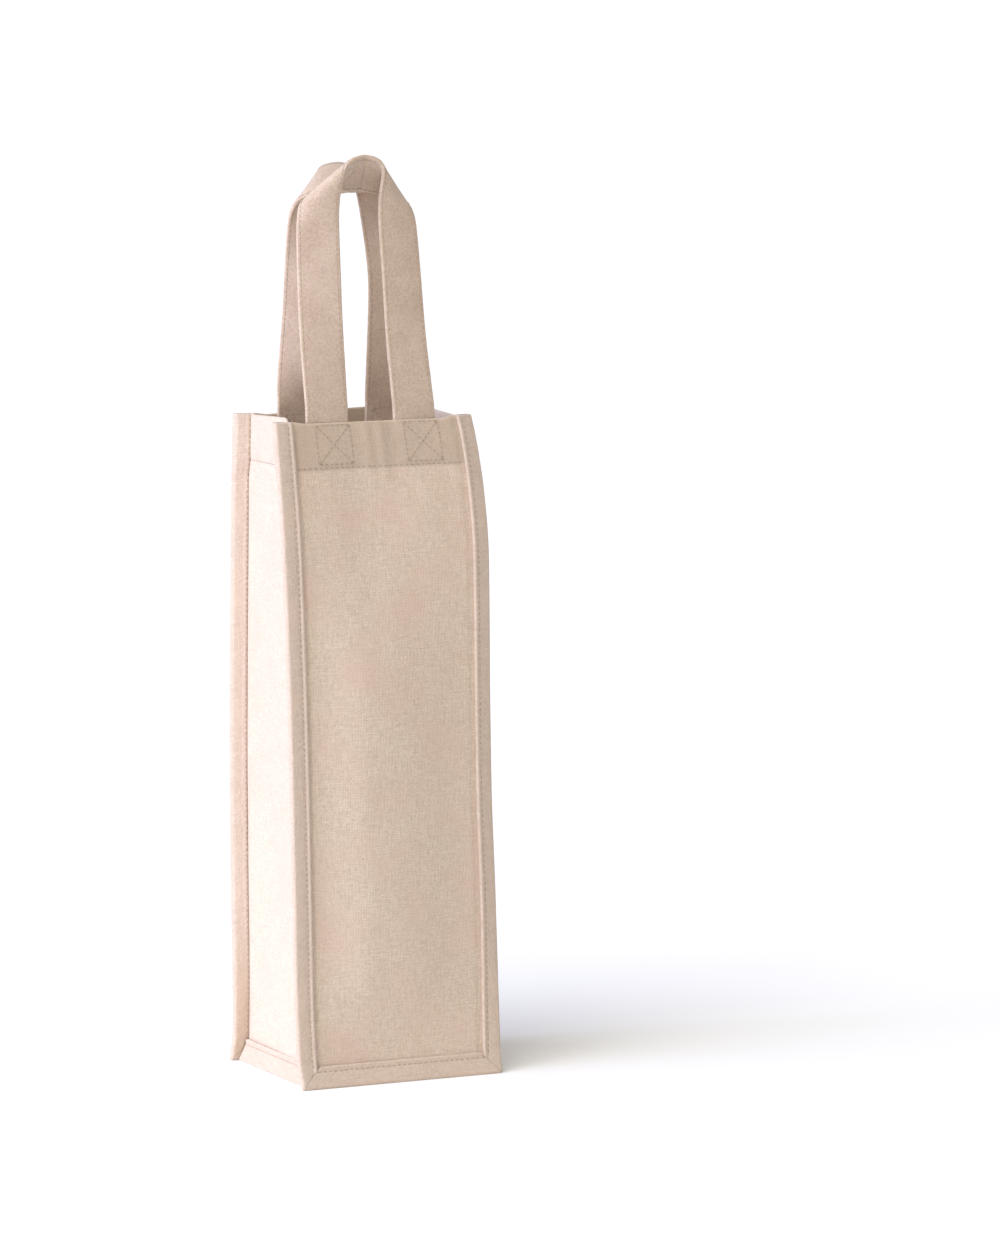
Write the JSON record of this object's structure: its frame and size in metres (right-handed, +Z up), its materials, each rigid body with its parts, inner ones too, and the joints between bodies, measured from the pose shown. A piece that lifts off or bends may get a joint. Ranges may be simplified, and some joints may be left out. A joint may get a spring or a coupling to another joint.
{
  "type": "bottle carrier",
  "caption": "Tall canvas carrier bag for a single bottle, with bound outside seams and folded strap handles that swing down.",
  "frame": {"origin": "under the middle of the outline, on the surface that the bag stands on", "axes": "+Z up along the bag, -Y out of the front panel, +X to the right as seen from the front"},
  "size_m": [0.1316, 0.0988, 0.4853],
  "materials": {
    "canvas": "natural cotton canvas, matt",
    "binding_tape": "natural cotton canvas, folded, matt",
    "strap": "natural cotton canvas folded in four, matt",
    "thread": "cotton sewing thread, matt"
  },
  "bodies": {
    "bag": {"front_panel": "canvas", "back_panel": "canvas", "left_side_panel": "canvas", "right_side_panel": "canvas", "base_panel": "canvas", "front_left_binding": "binding_tape", "front_right_binding": "binding_tape", "front_base_binding": "binding_tape", "back_left_binding": "binding_tape", "back_right_binding": "binding_tape", "back_base_binding": "binding_tape", "left_base_binding": "binding_tape", "right_base_binding": "binding_tape", "front_binding_thread": "thread", "back_binding_thread": "thread", "left_base_thread": "thread", "right_base_thread": "thread", "front_hem_thread": "thread", "back_hem_thread": "thread", "left_hem_thread": "thread", "right_hem_thread": "thread", "front_box_stitches": "thread", "rear_box_stitches": "thread", "front_handle_ends": "strap", "rear_handle_ends": "strap"},
    "front_strap": {"front_handle": "strap", "front_handle_thread": "thread"},
    "rear_strap": {"rear_handle": "strap", "rear_handle_thread": "thread"}
  },
  "joints": [
    {"name": "front_handle_swing", "type": "hinge", "parent": "bag", "child": "front_strap", "pos_m": [-0.01025, -0.0452, 0.3504], "axis": [1, 0, 0], "range_deg": [-4.5, 180]},
    {"name": "rear_handle_swing", "type": "hinge", "parent": "bag", "child": "rear_strap", "pos_m": [0.01025, 0.0452, 0.3504], "axis": [-1, 0, 0], "range_deg": [-4.5, 180]}
  ]
}
